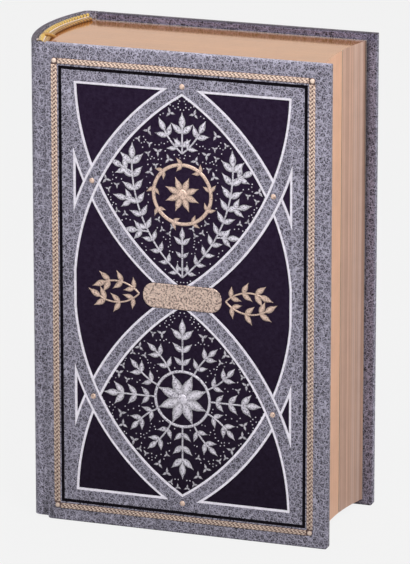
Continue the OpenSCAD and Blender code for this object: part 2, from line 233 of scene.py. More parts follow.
def shaded_inner_face(m, colour):
    """The back cover's inner margin: painted shade darkens the whole inner face, a painted shadow lies close behind
    the pages, and above their head it is cooler.
    """
    inwards = m.ramp(m.times(m.normal()[Y], -1.0), (0.6, 0.0), (0.8, 1.0))
    # Painted shade over the whole inner face
    colour = m.tint(colour, srgb(204, 200, 206), inwards)
    above = m.along(Z, ABOVE_Z, ABOVE_H, (0.36, 0.0), (0.44, 1.0))
    colour = m.mix(m.times(above, inwards), colour, m.tint(colour, srgb(228, 228, 240)))
    # A painted shadow in the gap close behind the pages' fore-edge
    behind = m.along(X, BEHIND_X, BEHIND_W, (0.0, 0.0), (0.2, 0.75), (0.45, 0.6), (0.75, 0.0))
    beside = m.along(Z, 0, BEHIND_H, (0.2, 0.1), (0.6, 1.0), (0.815, 1.0), (0.819, 0.0))
    return m.mix(m.times(m.times(behind, beside), inwards), colour, srgb(40, 34, 40))


def leather_mat(name, tail_shade_and_scuff=False, inner=False, dark_top=False):
    """Crackled leather: pale, wormy veins and creases over small dark cells."""
    m = Mat(name)
    warped = m.warped(700, 0.0012)
    cells = m.ramp(m.borders(1200, warped), (0.0, 1.0), (0.08, 0.8), (0.17, 0.0))
    maze = m.ramp(m.noise(1900, 0.5), (0.47, 0.0), (0.53, 1.0))
    web = m.calc("ADD", m.times(maze, 0.55), m.times(cells, 0.45))
    ground = m.mix(web, srgb(26, 22, 31), srgb(168, 163, 181))
    creases = m.ramp(m.borders(400, warped), (0.0, 0.85), (0.03, 0.7), (0.058, 0.0))
    worm = m.calc("ABSOLUTE", m.calc("SUBTRACT", m.noise(330, 1, 0.5, 0.8), 0.5))
    veins = m.calc("MAXIMUM", creases, m.ramp(worm, (0.0, 0.85), (0.007, 0.7), (0.014, 0.0)))
    colour = m.mix(veins, ground, srgb(198, 193, 212))
    colour = m.tint(colour, m.ramp(m.noise(45, 3, 0.55), (0.3, 0.9), (0.7, 1.08)))
    # Painted shade toward the tail, and a pale worn oval
    if tail_shade_and_scuff:
        colour = shaded_and_scuffed(m, colour)
    # Painted shade on the back cover's inner face, with a painted shadow behind the pages
    if inner:
        colour = shaded_inner_face(m, colour)
    if dark_top:
        upwards = m.ramp(m.normal()[Z], (0.35, 0.0), (0.7, 1.0))
        colour = m.tint(colour, srgb(118, 106, 114), upwards)
    m.bump((m.noise(240), 0.00008), (veins, 0.0001))
    rough = m.ramp(web, (0.0, 0.6), (1.0, 0.45))
    return m.finish(Base_Color=colour, Roughness=rough, Specular_IOR_Level=0.3)


# The relief stands on floors this far (mm) inside the leather's face
FLOOR_D = 0.3
FOIL_BUMP = 0.00004


def foil_mat(name, dark, light, rough, metal, scale, spots, specular=0.5, shaded_relief=False):
    """Stamped foil, worn through in spots. A relief can be given painted highlights on its ribs, painted shade at its
    foot and painted shade toward the tail.
    """
    m = Mat(name)
    grain = m.noise(scale, 3, 0.6)
    kept = m.ramp(m.noise(scale * 2.2, 2, 0.6), (spots - 0.1, 0.0), (spots + 0.08, 1.0))
    dull = tuple(c * 0.82 for c in light)
    colour = m.mix(kept, dark, m.mix(m.ramp(grain, (0.35, 0.0), (0.65, 1.0)), dull, light))
    if shaded_relief:
        # Painted highlights and shade by height over the floor, then painted shade toward the tail
        height = m.along(Y, FACE_Y + FLOOR_D * MM, -0.0005, (0.12, 0.38), (0.45, 0.78), (0.72, 1.02))
        colour = m.tint(colour, height)
        colour = m.tint(colour, m.along(Z, 0, TAIL_SHADE_H, (0.1, 0.84), (0.8, 1.02)))
    m.bump((grain, FOIL_BUMP), (kept, FOIL_BUMP * 0.8))
    grain_rough = m.ramp(grain, (0.3, rough + 0.1), (0.7, rough - 0.06))
    return m.finish(Base_Color=colour, Roughness=grain_rough, Metallic=metal, Specular_IOR_Level=specular)


def braid_mat():
    """Gold with painted highlights on the high parts of the strands, painted brown shade in the low ones and painted
    shade toward the tail.
    """
    m = Mat("braid_gold")
    low, middle, high = srgb(112, 88, 84), srgb(184, 151, 137), srgb(255, 230, 212)
    # Painted highlight and shade by height over the floor
    colour = m.along(Y, FACE_Y + 0.1 * MM, -MM, (0.0, low), (0.12, middle), (0.33, high))
    grain = m.noise(1000, 3, 0.6)
    colour = m.tint(colour, m.ramp(grain, (0.3, 0.8), (0.65, 1.05)))
    # Painted shade toward the tail
    colour = m.tint(colour, m.along(Z, 0, TAIL_SHADE_H, (0.0, 0.66), (0.6, 0.92), (1.0, 1.04)))
    m.bump((grain, FOIL_BUMP))
    return m.finish(Base_Color=colour, Roughness=m.ramp(grain, (0.3, 0.5), (0.7, 0.34)), Metallic=0.2)


def panel_mat():
    """Dark pigment with a fine level grain."""
    m = Mat("panel_pigment")
    grain = m.noise(700, 4, 0.65)
    fine = m.noise(1, 3, 0.6, at=m.stretched(700, 700, 2300))
    colour = m.mix(m.ramp(grain, (0.3, 0.0), (0.75, 1.0)), srgb(29, 15, 37), srgb(46, 34, 57))
    colour = m.mix(m.ramp(fine, (0.6, 0.0), (0.8, 0.4)), colour, srgb(64, 54, 76))
    # Painted shade toward the tail
    colour = m.tint(colour, m.along(Z, 0, TAIL_SHADE_H, (0.1, 0.5), (0.75, 1.0)))
    m.bump((grain, 0.00009), (fine, 0.00006))
    rough = m.ramp(grain, (0.3, 0.62), (0.7, 0.5))
    return m.finish(Base_Color=colour, Roughness=rough, Specular_IOR_Level=0.08)


# The endpapers, and the inside of the page block
PAPER = srgb(226, 216, 198)


def page_mat():
    """Gilt edges: the head is polished, and the fore-edge shows bands of leaves and the gap between two sections."""
    m = Mat("gilt_pages")
    leaves = m.noise(1, 2, 0.7, at=m.stretched(3, 2600, 3))
    bands = m.noise(1, 3, 0.6, at=m.stretched(0.8, 620, 0.8))
    fine = m.ramp(m.noise(1, 2, 0.6, at=m.stretched(0.8, 1150, 0.8)), (0.36, 0.0), (0.6, 1.0))
    normal = m.normal()

    def across(*stops):
        """A ramp through the block, from its front face to its back face."""
        return m.along(Y, -0.03, 0.06, *stops)

    lines = m.ramp(bands, (0.38, 0.0), (0.62, 1.0))
    rear = m.mix(lines, srgb(206, 162, 140), srgb(240, 197, 172))
    rear = m.mix(m.calc("SUBTRACT", 0.85, m.times(fine, 0.85)), rear, srgb(186, 144, 124))
    pale = across((0.80, 0.0), (0.84, 0.4), (0.88, 0.1), (0.92, 0.55), (0.95, 0.0))
    rear = m.mix(pale, rear, srgb(226, 200, 188))
    front = m.mix(lines, srgb(250, 192, 156), srgb(255, 200, 164))
    side = m.mix(across((0.621, 0.0), (0.629, 1.0)), front, rear)
    side = m.mix(across((0.616, 0.0), (0.623, 0.8), (0.627, 0.8), (0.634, 0.0)), side, srgb(128, 86, 62))
    shade = m.times(across((0.948, 0.0), (0.962, 0.8)), m.along(Z, 0, TAIL_SHADE_H, (0.3, 0.1), (0.9, 1.0)))
    side = m.mix(shade, side, srgb(84, 66, 62))
    # Painted shade toward the tail
    side = m.tint(side, m.along(Z, 0, TAIL_SHADE_H, (0.0, 0.84), (1.0, 1.0)))
    outer = m.ramp(m.calc("ABSOLUTE", normal[Y]), (0.5, 0.0), (0.7, 1.0))
    shoulder = m.along(X, 0, -0.1, (0.40, 0.0), (0.42, 1.0))
    side = m.mix(m.calc("MAXIMUM", outer, shoulder), side, PAPER)

    head = m.mix(m.ramp(bands, (0.35, 0.6), (0.65, 0.0)), srgb(197, 136, 77), srgb(175, 117, 64))
    head = m.mix(m.ramp(leaves, (0.25, 0.35), (0.4, 0.0)), head, srgb(156, 116, 84))
    head = m.mix(across((0.925, 0.0), (0.94, 0.55), (0.972, 0.55), (0.98, 0.0)), head, srgb(232, 208, 196))

    up = m.ramp(m.calc("ABSOLUTE", normal[Z]), (0.4, 0.0), (0.6, 1.0))
    colour = m.tint(m.mix(up, side, head), m.ramp(m.noise(90, 3, 0.6), (0.3, 0.94), (0.7, 1.04)))
    calm = m.ramp(up, (0.0, 1.0), (1.0, 0.25))
    m.bump((m.times(bands, calm), 0.0001), (m.times(leaves, calm), 0.00004))
    rough, metal = m.ramp(up, (0.0, 0.45), (1.0, 0.08)), m.ramp(up, (0.0, 0.2), (1.0, 0.62))
    return m.finish(Base_Color=colour, Roughness=rough, Metallic=metal)


def paper_mat(name, light, scale):
    m = Mat(name)
    fibres = m.noise(scale, 4, 0.6)
    colour = m.mix(m.ramp(fibres, (0.35, 0.0), (0.65, 1.0)), tuple(c * 0.9 for c in light), light)
    colour = m.tint(colour, m.ramp(m.noise(28), (0.3, 0.93), (0.7, 1.03)))
    m.bump((fibres, 0.00003))
    return m.finish(Base_Color=colour, Roughness=0.8)


def thread_mat(name, light, dark):
    m = Mat(name)
    fibres = m.noise(2600, 3, 0.6)
    m.bump((fibres, 0.00005))
    colour = m.mix(m.ramp(fibres, (0.35, 0.0), (0.6, 1.0)), dark, light)
    return m.finish(Base_Color=colour, Roughness=0.5, Sheen_Weight=0.3)


def cloth_mat():
    m = Mat("lining_weave")

    def threads(direction):
        wave = m.new("TexWave", Vector=m.coord, Scale=420)
        wave.bands_direction = direction
        return wave.outputs["Fac"]

    weave = m.times(threads("Z"), threads("Y"))
    m.bump((weave, 0.0001))
    return m.finish(Base_Color=m.mix(weave, srgb(190, 182, 160), srgb(228, 222, 204)), Roughness=0.9)


# The front design runs in U to the right and V up from its middle, and heights are measured out from the leather
cover_low, cover_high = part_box("front_cover_leather")
FACE_Y = cover_low.y
DESIGN_X = cover_high.x - 0.0642
DESIGN_Z = 0.1031

# A foil has a worn colour and a bright one, and a thread a light colour and a dark one
M = {
    "leather": leather_mat("grey_leather", dark_top=True),
    "leather_back": leather_mat("grey_leather_back", inner=True, dark_top=True),
    "leather_front": leather_mat("grey_leather_front", tail_shade_and_scuff=True),
    "silver": foil_mat(
        "silver_foil", srgb(168, 160, 186), srgb(250, 244, 255), rough=0.4, metal=0.15, scale=700, spots=0.26
    ),
    "silver_fine": foil_mat(
        "silver_relief", srgb(100, 92, 114), srgb(250, 244, 255), rough=0.4, metal=0.1, scale=760, spots=0.42,
        # painted highlights and shade on the relief
        shaded_relief=True,
    ),
    "gold": foil_mat(
        "gold_foil", srgb(132, 104, 92), srgb(246, 214, 196), rough=0.34, metal=0.4, scale=800, spots=0.4,
        # painted highlights and shade on the relief
        shaded_relief=True,
    ),
    "gold_plate": foil_mat(
        "gold_plate", srgb(108, 90, 86), srgb(230, 203, 188), rough=0.36, metal=0.4, scale=620, spots=0.46
    ),
    "braid": braid_mat(),
    # The braid's channel: a brown-gold band for the strands beneath, darkened as painted shade between them
    "braid_floor_shade": foil_mat(
        "braid_shadow", srgb(84, 62, 58), srgb(124, 98, 88), rough=0.5, metal=0.1, scale=900, spots=0.45
    ),
    "black": foil_mat(
        "black_fillet", srgb(3, 1, 5), srgb(10, 5, 13), rough=0.7, metal=0.0, scale=700, spots=0.4, specular=0.08
    ),
    "panel": panel_mat(),
    "pages": page_mat(),
    "paper": paper_mat("endpaper", PAPER, 900),
    "kraft": paper_mat("kraft_paper", srgb(176, 146, 108), 500),
    "board": paper_mat("greyboard", srgb(150, 144, 134), 500),
    "cloth": cloth_mat(),
    "thread": thread_mat("band_gold", srgb(214, 176, 72), srgb(164, 126, 38)),
    "thread_dark": thread_mat("band_olive", srgb(92, 64, 18), srgb(58, 40, 12)),
    "thread_pale": thread_mat("band_core", srgb(240, 222, 214), srgb(214, 188, 176)),
    "thread_row": thread_mat("band_row", srgb(184, 140, 62), srgb(124, 86, 32)),
}
NODE_MATERIALS = {
    "leather_front": ("front_cover_leather",),
    "leather_back": ("back_cover_leather",),
    "leather": ("spine_leather",),
    "silver": ("front_silver_lines",),
    "silver_fine": ("front_silver_ornament",),
    "gold": ("front_gold_ornament", "front_gold_dots"),
    "braid": ("front_braid",),
    "black": ("front_black_fillet",),
    "panel": ("front_panel_foil",),
    "pages": ("page_block",),
    "paper": ("front_flyleaf", "back_flyleaf", "front_pastedown", "back_pastedown"),
    "kraft": ("hollow_tube",),
    "board": ("spine_inlay", "front_board", "back_board"),
    "cloth": ("spine_lining",),
    "thread_dark": ("head_band", "tail_band"),
}


def give(obj, mat):
    obj.data.materials.clear()
    obj.data.materials.append(M[mat])


for mat, names in NODE_MATERIALS.items():
    for name in names:
        give(nodes[name], mat)


# Floor, backdrop and light
BACKDROP = srgb(242, 242, 242)
WORLD_COLOUR, WORLD_STRENGTH = (0.95, 0.97, 1), 0.30
FLOOR_R = 9
FLOOR_COLOUR = (0.35, 0.35, 0.35)
# The floor's colour as the camera sees it, and its share against the floor as it is lit
FLOOR_GLOW, GLOW_SHARE = srgb(247, 247, 247), 0.93
# Each lamp: its name, place, side length and power
LAMPS = (
    ("key", (0.08, -0.78, 1.16), 0.6, 5.4),
    ("right", (0.6, -0.62, 0.95), 0.45, 8.5),
    ("top", (0.2, 0.3, 2.2), 1.6, 16),
    ("rear", (-1.4, 0.8, 1.5), 1.0, 9),
)
LAMP_AIM = Vector((0, 0, 0.1))


def node_in(tree, kind, *values):
    """A node whose inputs, from the first, are linked to a socket or set to a value."""
    node = tree.nodes.new("ShaderNode" + kind)
    for value, socket in zip(values, node.inputs):
        if isinstance(value, bpy.types.NodeSocket):
            tree.links.new(value, socket)
        else:
            socket.default_value = value
    return node


def seen_ray(tree):
    """1 for the rays that show the backdrop to the camera, straight or through a reflection or glass."""
    path = node_in(tree, "LightPath").outputs
    ray = path["Is Camera Ray"]
    for kind in ("Is Glossy Ray", "Is Transmission Ray"):
        either = node_in(tree, "Math", ray, path[kind])
        either.operation = "MAXIMUM"
        ray = either.outputs[0]
    return ray


def world():
    scene = bpy.context.scene
    scene.world = scene.world or bpy.data.worlds.new("world")
    scene.world.use_nodes = True
    tree = scene.world.node_tree
    tree.nodes.clear()
    lit = node_in(tree, "Background", WORLD_COLOUR + (1,), WORLD_STRENGTH).outputs[0]
    seen = node_in(tree, "Background", BACKDROP + (1,)).outputs[0]
    node_in(tree, "OutputWorld", node_in(tree, "MixShader", seen_ray(tree), lit, seen).outputs[0])


def floor():
    bpy.ops.mesh.primitive_circle_add(vertices=96, radius=FLOOR_R, fill_type="NGON")
    obj = bpy.context.object
    obj.name = "floor"
    mat = bpy.data.materials.new("floor")
    mat.use_nodes = True
    tree = mat.node_tree
    bsdf = tree.nodes["Principled BSDF"]
    bsdf.inputs["Base Color"].default_value = FLOOR_COLOUR + (1,)
    bsdf.inputs["Roughness"].default_value = 0.9
    bsdf.inputs["Specular IOR Level"].default_value = 0.0
    share = node_in(tree, "Math", seen_ray(tree), GLOW_SHARE)
    share.operation = "MULTIPLY"
    glow = node_in(tree, "Emission", FLOOR_GLOW + (1,)).outputs[0]
    mixed = node_in(tree, "MixShader", share.outputs[0], bsdf.outputs[0], glow).outputs[0]
    tree.links.new(mixed, tree.nodes["Material Output"].inputs[0])
    obj.data.materials.append(mat)


def lamps():
    for name, at, size, power in LAMPS:
        data = bpy.data.lights.new(name, "AREA")
        data.shape = "SQUARE"
        data.size = size
        data.energy = power
        lamp = bpy.data.objects.new(name, data)
        bpy.context.scene.collection.objects.link(lamp)
        lamp.location = at
        lamp.rotation_euler = (LAMP_AIM - lamp.location).to_track_quat("-Z", "Y").to_euler()


world()
floor()
lamps()


# Meshes
class Shape:
    """The vertices and faces of one piece, and the circles (U, V, radius) of the design that it covers."""

    def __init__(self):
        self.verts, self.faces, self.taken = [], [], []

    def add(self, verts, faces):
        first = len(self.verts)
        self.verts += verts
        self.faces += [tuple(i + first for i in face) for face in faces]


def ring_quads(rings, sides):
    """Quads between closed rings of vertices that follow one another."""
    quads = []
    for k in range(rings - 1):
        for j in range(sides):
            a, b = k * sides + j, k * sides + (j + 1) % sides
            quads.append((a, b, b + sides, a + sides))
    return quads


def tube_faces(rings, sides):
    """Rings of vertices, closed by a flat cap at each end."""
    start, end = tuple(range(sides)), tuple(range((rings - 1) * sides, rings * sides))
    return ring_quads(rings, sides) + [start[::-1], end]


def cap_faces(rings, sides):
    """Rings of vertices, closed by a fan to one last vertex."""
    first, last = (rings - 1) * sides, rings * sides
    return ring_quads(rings, sides) + [(first + i, first + (i + 1) % sides, last) for i in range(sides)]


def mesh_object(name, shape, mat, smooth):
    """An object of the shape, with its first faces smooth, as many as smooth says."""
    mesh = bpy.data.meshes.new(name)
    mesh.from_pydata(shape.verts, [], shape.faces)
    mesh.validate()
    mesh.update()
    for face in mesh.polygons[:smooth]:
        face.use_smooth = True
    obj = bpy.data.objects.new(name, mesh)
    bpy.context.scene.collection.objects.link(obj)
    give(obj, mat)
    return obj


def mesh_piece(name, shape, mat, body, smooth=True):
    """A piece that rides on a body, either smooth all over or flat."""
    piece = mesh_object(name, shape, mat, len(shape.faces) if smooth else 0)
    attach(piece, body)
    return piece


def on_front(uv, out):
    """A point of the design, at a complex U + iV, with out its height above the leather's face."""
    return (DESIGN_X + uv.real * MM, FACE_Y - out * MM, DESIGN_Z + uv.imag * MM)


class Place:
    """A flat place in the design with a direction: it can be moved, turned and mirrored."""

    def __init__(self, origin=0j, ahead=1 + 0j, mirrored=False):
        self.origin, self.ahead, self.mirrored = origin, ahead, mirrored

    def at(self, x, y=0.0):
        """The point of the design that lies x ahead and y to the left, or to the right if mirrored."""
        return self.origin + self.ahead * self.seen(complex(x, y))

    def seen(self, z):
        return z.conjugate() if self.mirrored else z

    def then(self, origin, ahead=1 + 0j, mirrored=False):
        origin = self.origin + self.ahead * self.seen(origin)
        return Place(origin, self.ahead * self.seen(ahead), self.mirrored != mirrored)

    def move(self, x, y=0.0):
        return self.then(complex(x, y))

    def turn(self, degrees):
        angle = math.radians(degrees)
        return self.then(0j, complex(math.cos(angle), math.sin(angle)))

    def flip(self):
        """Mirrored across its direction."""
        return self.then(0j, 1 + 0j, True)

    def side(self):
        """Mirrored left to right."""
        return self.then(0j, -1 + 0j, True)

    def both(self):
        return (self, self.side())


# The ornament's sizes, which are those of the part's source
LEAF_L, LEAF_B, LEAF_GAP, STEM_B, LEAN, BUD_R = 8, 3.2, 5.6, 0.8, 48, 2.4
FLOWER_V, FLOWER_R, WREATH_R, STAR_R = 44.1, 8, 12.6, 12
LAUREL_R, SPRAY_R, SCROLL_R = 62, 28, 14
LABEL_W, LABEL_B = 35, 11

# A leaf's rings from foot to tip, where its blade ends, half its breadth at the foot, and its heights over the floor
LEAF_RINGS, LEAF_TIP, LEAF_FOOT = 5, 0.9, 0.14
LEAF_EDGE_H, LEAF_RIB_H, LEAF_RISE = 0.06, 0.12, 0.34
# The heights of a stem, of the line of a ring and of a flower's bud
STEM_TOP, RING_TOP, BUD_TOP = -0.02, 0.05, 0.3


def leaf(shape, place, size):
    """A leaf with a raised rib and a curved outline."""
    length, half = size * LEAF_L, size * LEAF_B / 2
    left, rib, right = [], [], []
    for i in range(LEAF_RINGS + 1):
        k = i / LEAF_RINGS
        blade = math.sin(math.pi * (k / LEAF_TIP) ** 0.85) if k < LEAF_TIP else 0
        w = half * blade + LEAF_FOOT * (1 - k)
        rise = LEAF_RISE * math.sin(math.pi * (0.12 + 0.84 * k)) * min(1, size + 0.2)
        left.append(on_front(place.at(k * length, w), LEAF_EDGE_H - FLOOR_D))
        rib.append(on_front(place.at(k * length), LEAF_RIB_H - FLOOR_D + rise))
        right.append(on_front(place.at(k * length, -w), LEAF_EDGE_H - FLOOR_D))
    row = LEAF_RINGS + 1
    faces = []
    for a in range(LEAF_RINGS):
        b, c = a + row, a + 2 * row
        faces += [(a, a + 1, b + 1, b), (b, b + 1, c + 1, c)]
    if place.mirrored:
        faces = [face[::-1] for face in faces]
    shape.add(left + rib + right, faces)
    middle = place.at(0.5 * length)
    shape.taken.append((middle.real, middle.imag, 0.5 * length))


def ribbon(shape, points, breadth, top):
    """A half-round line along points of the design."""
    rows = ((-1, 0), (-0.72, 0.7), (0, 1), (0.72, 0.7), (1, 0))
    verts, faces = [], []
    for i, point in enumerate(points):
        ahead = points[min(i + 1, len(points) - 1)] - points[max(i - 1, 0)]
        side = ahead / abs(ahead) * 1j * breadth / 2
        verts += [on_front(point + side * across, -FLOOR_D + (top + FLOOR_D) * up) for across, up in rows]
    n = len(rows)
    for i in range(len(points) - 1):
        for a in range(i * n, i * n + n - 1):
            faces.append((a, a + 1, a + n + 1, a + n))
    shape.add(verts, faces)
    shape.taken += [(point.real, point.imag, breadth) for point in points[::2]]


def dome(shape, place, r, top, sides=14):
    """A round boss. Its rings are (share of the radius, share of the height)."""
    verts = []
    for share, up in ((1.0, 0), (0.96, 0.45), (0.7, 0.85), (0.35, 1)):
        for i in range(sides):
            a = 2 * math.pi * i / sides
            point = place.at(r * share * math.cos(a), r * share * math.sin(a))
            verts.append(on_front(point, -FLOOR_D + (top + FLOOR_D) * up))
    middle = place.at(0)
    verts.append(on_front(middle, top + 0.01))
    shape.add(verts, cap_faces(4, sides))
    shape.taken.append((middle.real, middle.imag, r))


def arc(place, r, start, end, steps=None):
    """Points on an arc about a place, from one angle in degrees to another."""
    steps = steps or max(4, int(abs(end - start) * r / 60) + 2)
    angles = [math.radians(start + (end - start) * i / steps) for i in range(steps + 1)]
    return [place.at(r * math.cos(a), r * math.sin(a)) for a in angles]


def on_arc(place, r, turn):
    """The place reached when one goes on along an arc to the left, through turn degrees."""
    a = math.radians(turn)
    return place.move(r * math.sin(a), r - r * math.cos(a)).turn(turn)


def leaf_pairs(shape, pairs, sizes, place_at):
    """Leaves to both sides of a stem and one at its end, from the first of two sizes to the second."""
    first, last = sizes
    for i in range(1, pairs + 1):
        k = (i - 0.5) / pairs
        for lean in (-LEAN, LEAN):
            leaf(shape, place_at(k).turn(lean), first + (last - first) * k)
    leaf(shape, place_at(1).move(-STEM_B), last)


def spray(shape, place, r, sweep, sizes):
    """A bowed stem with leaves."""
    ribbon(shape, arc(place.move(0, r), r, -90, sweep - 90), STEM_B, STEM_TOP)
    pairs = round(r * math.radians(sweep) / LEAF_GAP)
    leaf_pairs(shape, pairs, sizes, lambda k: on_arc(place, r, sweep * k))


def sprig(shape, place, pairs, sizes):
    """A straight stem with leaves."""
    length = pairs * LEAF_GAP
    ribbon(shape, [place.at(length * i / 6) for i in range(7)], STEM_B, STEM_TOP)
    leaf_pairs(shape, pairs, sizes, lambda k: place.move(length * k))


def flower(shape, place, r):
    """Eight leaves round a bud."""
    for k in range(8):
        leaf(shape, place.turn(22.5 + 45 * k).move(BUD_R / 2), (r - BUD_R / 2) / LEAF_L)
    dome(shape, place, BUD_R, BUD_TOP)


def laurel(shape):
    """The upper panel: a laurel that opens upwards, with a crown of leaves over the flower."""
    foot = Place().move(0, LABEL_B / 2 + LEAF_B)
    sprig(shape, foot.turn(90), 3, (0.3, 0.7))
    for side in foot.both():
        bough = side.turn(40)
        spray(shape, bough, LAUREL_R, 52, (0.5, 0.9))
        for turn in (22, 34, 46):
            sprig(shape, on_arc(bough, LAUREL_R, turn).turn(-60), 1, (0.6, 0.8))
    crown = Place().move(0, FLOWER_V + WREATH_R + LEAF_B * 1.5)
    sprig(shape, crown.turn(90), 2, (0.6, 0.9))
    for side in crown.both():
        spray(shape, side.turn(38), SPRAY_R, 26, (0.5, 0.8))


def star(shape):
    """The lower panel: a flower in a ring, with sprays that point outwards all round."""
    middle = Place().move(0, -FLOWER_V)
    ribbon(shape, arc(middle, STAR_R, 0, 360, 64), STEM_B * 1.6, RING_TOP)
    flower(shape, middle, STAR_R)
    for turn in (90, 270):
        sprig(shape, middle.turn(turn).move(STAR_R), 3, (0.6, 0.9))
    for side in middle.both():
        sprig(shape, side.move(STAR_R), 3, (0.6, 0.9))
        for half in (side, side.flip()):
            spray(shape, half.turn(25).move(STAR_R), SPRAY_R, 24, (0.6, 0.7))
            spray(shape, half.turn(65).move(STAR_R).flip(), SPRAY_R, 24, (0.6, 0.7))


# The middle panels: half their breadth and height, and how far their middles lie from the design's
DIAMOND_R, DIAMOND_V = 42, 45
# Where the filling is tried, to one side and from the middle, and its least distance from the wreath
FILL_U, FILL_V, FILL_CLEAR = 40, (4, 88), 2
# How far out the rays start that look for the panel, and how much more panel than its own radius a filling needs
PROBE_H, PROBE_MARGIN = 5, 0.5
# Each kind of filling: the clear radius that it needs, the tries, and the size of its leaves, or None for a dot
FILLING = ((2.2, 900, 0.30), (1.5, 1600, 0.21), (0.55, 5000, None))
SEED_R, SEED_TOP = 0.3, 0.05


def fill(shape):
    """Small leaves in threes and fine dots, where the two middle panels are still bare."""
    panel = nodes["front_panel_foil"]
    tree = BVHTree.FromObject(panel, bpy.context.evaluated_depsgraph_get())
    to_panel = panel.matrix_world.inverted()
    inwards = (to_panel.to_3x3() @ Vector((0, 1, 0))).normalized()

    def on_panel(u, v, r):
        for i in range(6):
            a = math.pi * i / 3
            above = on_front(complex(u + r * math.cos(a), v + r * math.sin(a)), PROBE_H)
            if tree.ray_cast(to_panel @ Vector(above), inwards)[0] is None:
                return False
        in_diamond = abs(u) / DIAMOND_R + abs(abs(v) - DIAMOND_V) / DIAMOND_R < 1
        return in_diamond and math.hypot(u, v - FLOWER_V) > WREATH_R + FILL_CLEAR

    def free(u, v, r):
        return all((u - x) ** 2 + (v - y) ** 2 > (r + q) ** 2 for x, y, q in shape.taken)

    for clear, tries, size in FILLING:
        for _ in range(tries):
            u, v = rng.uniform(0, FILL_U), rng.choice((-1, 1)) * rng.uniform(*FILL_V)
            if u < clear or not (on_panel(u, v, clear + PROBE_MARGIN) and free(u, v, clear)):
                continue
            turn = rng.uniform(0, 360)
            for side in Place().both():
                place = side.move(u, v).turn(turn)
                if size is None:
                    dome(shape, place, SEED_R, SEED_TOP, sides=6)
                    continue
                for lean in (-60, 60, 180):
                    leaf(shape, place.turn(lean), size)
            shape.taken.append((u, v, clear))


def silver_ornament():
    """The laurel, the star and what fills the space between them."""
    shape = Shape()
    laurel(shape)
    star(shape)
    fill(shape)
    piece = mesh_piece("silver_relief", shape, "silver_fine", "front_cover")
    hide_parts("front_silver_ornament")


def gold_ornament():
    """The flower in its wreath, and the leaf sprays beside the cartouche."""
    shape = Shape()
    middle = Place().move(0, FLOWER_V)
    ribbon(shape, arc(middle, WREATH_R, 0, 360, 72), STEM_B * 2, RING_TOP)
    for k in range(9):
        for lean in (-LEAN, LEAN):
            leaf(shape, middle.turn(90 + 40 * k).move(WREATH_R).turn(90 - lean), 0.5)
    flower(shape, middle, FLOWER_R)
    for side in Place().both():
        end = side.move(LABEL_W / 2 + LEAF_B / 2)
        spray(shape, end.turn(-LEAN), SCROLL_R, 80, (0.6, 0.8))
        spray(shape, end.turn(LEAN).flip(), SCROLL_R, 70, (0.6, 0.8))
    piece = mesh_piece("gold_relief", shape, "gold", "front_cover")
    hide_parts("front_gold_ornament")


# The cartouche lies this far inside its recess, and its rows are (inset, height) from the rim to the field
LABEL_CLEAR = 0.2
LABEL_ROWS = ((0, -FLOOR_D), (0.02, -0.02), (0.3, 0.12), (0.75, 0.12), (1.05, -0.04), (1.4, -0.06))


def cartouche():
    """A blank plate with round ends and a raised rim."""
    w, b = LABEL_W / 2 - LABEL_CLEAR, LABEL_B / 2 - LABEL_CLEAR
    r = b * 0.9
    corners = ((w - r, b - r, 0), (r - w, b - r, 90), (r - w, r - b, 180), (w - r, r - b, 270))
    rim = []
    for x, y, start in corners:
        for turn in range(0, 91, 9):
            a = math.radians(start + turn)
            rim.append((complex(x + r * math.cos(a), y + r * math.sin(a)), complex(math.cos(a), math.sin(a))))
    verts = [on_front(point - out * inset, height) for inset, height in LABEL_ROWS for point, out in rim]
    verts.append(on_front(0j, LABEL_ROWS[-1][1]))
    shape = Shape()
    shape.add(verts, cap_faces(len(LABEL_ROWS), len(rim)))
    piece = mesh_piece("gold_cartouche", shape, "gold_plate", "front_cover")
    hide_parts("front_gold_ornament")


# The dots at the crossings of the straps, which lie above and below the middle
DOT_R, DOT_TOP = 1.25, 0.22
DOTS = ((0, 89.8), (-39.75, 46.8), (39.75, 46.8))


def dots():
    shape = Shape()
    for u, v in DOTS:
        for end in (-1, 1):
            dome(shape, Place().move(u, end * v), DOT_R, DOT_TOP)
    piece = mesh_piece("gold_studs", shape, "gold", "front_cover")
    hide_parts("front_gold_dots")


# The braid's runs, from stop to stop, its channel's breadth, how far its strands and its channel start from a corner,
# and the channel's height over the floor
BRAID_W, BRAID_H, BRAID_B = 112.6, 193.2, 2.6
BRAID_START, CHANNEL_START, CHANNEL_LIFT = 1.6, 1.0, 0.02
STOP_R, STOP_TOP = 1.2, 0.3
# The length over which a strand repeats, and half the braid's breadth, in the level and in the upright runs
LEVEL_RUN, UPRIGHT_RUN = (7.4, 1.25), (7.0, 1.5)
# A strand: half its breadth and thickness, its middle height and its rise and fall over the others
STRAND_B, STRAND_T, STRAND_H, STRAND_RISE = 0.36, 0.24, -0.1, 0.13
STRANDS, STRAND_SIDES, STRAND_RINGS = 4, 6, 16


def strand(shape, start, ahead, length, period, phase, half):
    """One strand of the braid: it weaves from edge to edge, over one strand and under the next."""
    rings = round(length / period) * STRAND_RINGS
    sway = half - STRAND_B
    verts = []
    for i in range(rings + 1):
        along = length * i / rings
        a = 2 * math.pi * along / period + phase
        point = start + ahead * complex(along, -sway * math.sin(a))
        way = ahead * complex(1, -sway * math.cos(a) * 2 * math.pi / period)
        side = way / abs(way) * 1j * STRAND_B
        height = STRAND_H + STRAND_RISE * math.cos(3 * a)
        for j in range(STRAND_SIDES):
            b = 2 * math.pi * j / STRAND_SIDES
            verts.append(on_front(point + side * math.cos(b), height + STRAND_T * math.sin(b)))
    shape.add(verts, tube_faces(rings + 1, STRAND_SIDES))


